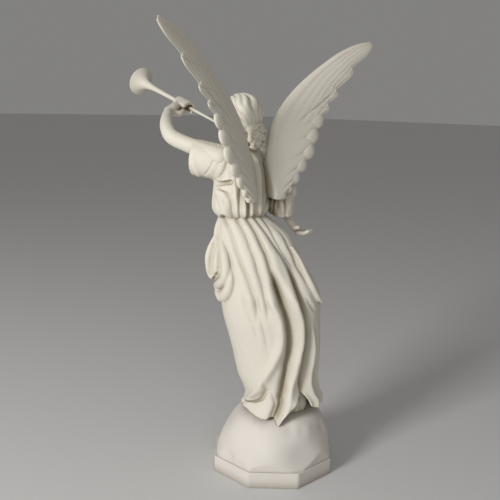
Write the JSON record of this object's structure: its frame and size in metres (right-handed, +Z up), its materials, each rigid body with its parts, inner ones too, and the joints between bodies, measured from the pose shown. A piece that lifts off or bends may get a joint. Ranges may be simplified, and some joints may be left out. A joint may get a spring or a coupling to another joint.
{
  "type": "angel statue",
  "caption": "Standing winged angel in a gathered gown blowing a long straight trumpet, on a rock mound over a low octagonal plinth.",
  "frame": {"origin": "middle of the octagonal plinth's underside", "axes": "+Z up; the angel faces -Y, and +X is toward the angel's own left"},
  "size_m": [0.98, 0.8987, 1.5084],
  "materials": {
    "cream_resin": "matte, stone-like, pale cream",
    "rock_resin": "matte, stone-like, slightly pinker white"
  },
  "bodies": {
    "root": {"figure": "cream_resin", "rock_base": "rock_resin", "left_wing": "cream_resin", "right_wing": "cream_resin", "trumpet": "cream_resin"}
  },
  "joints": []
}
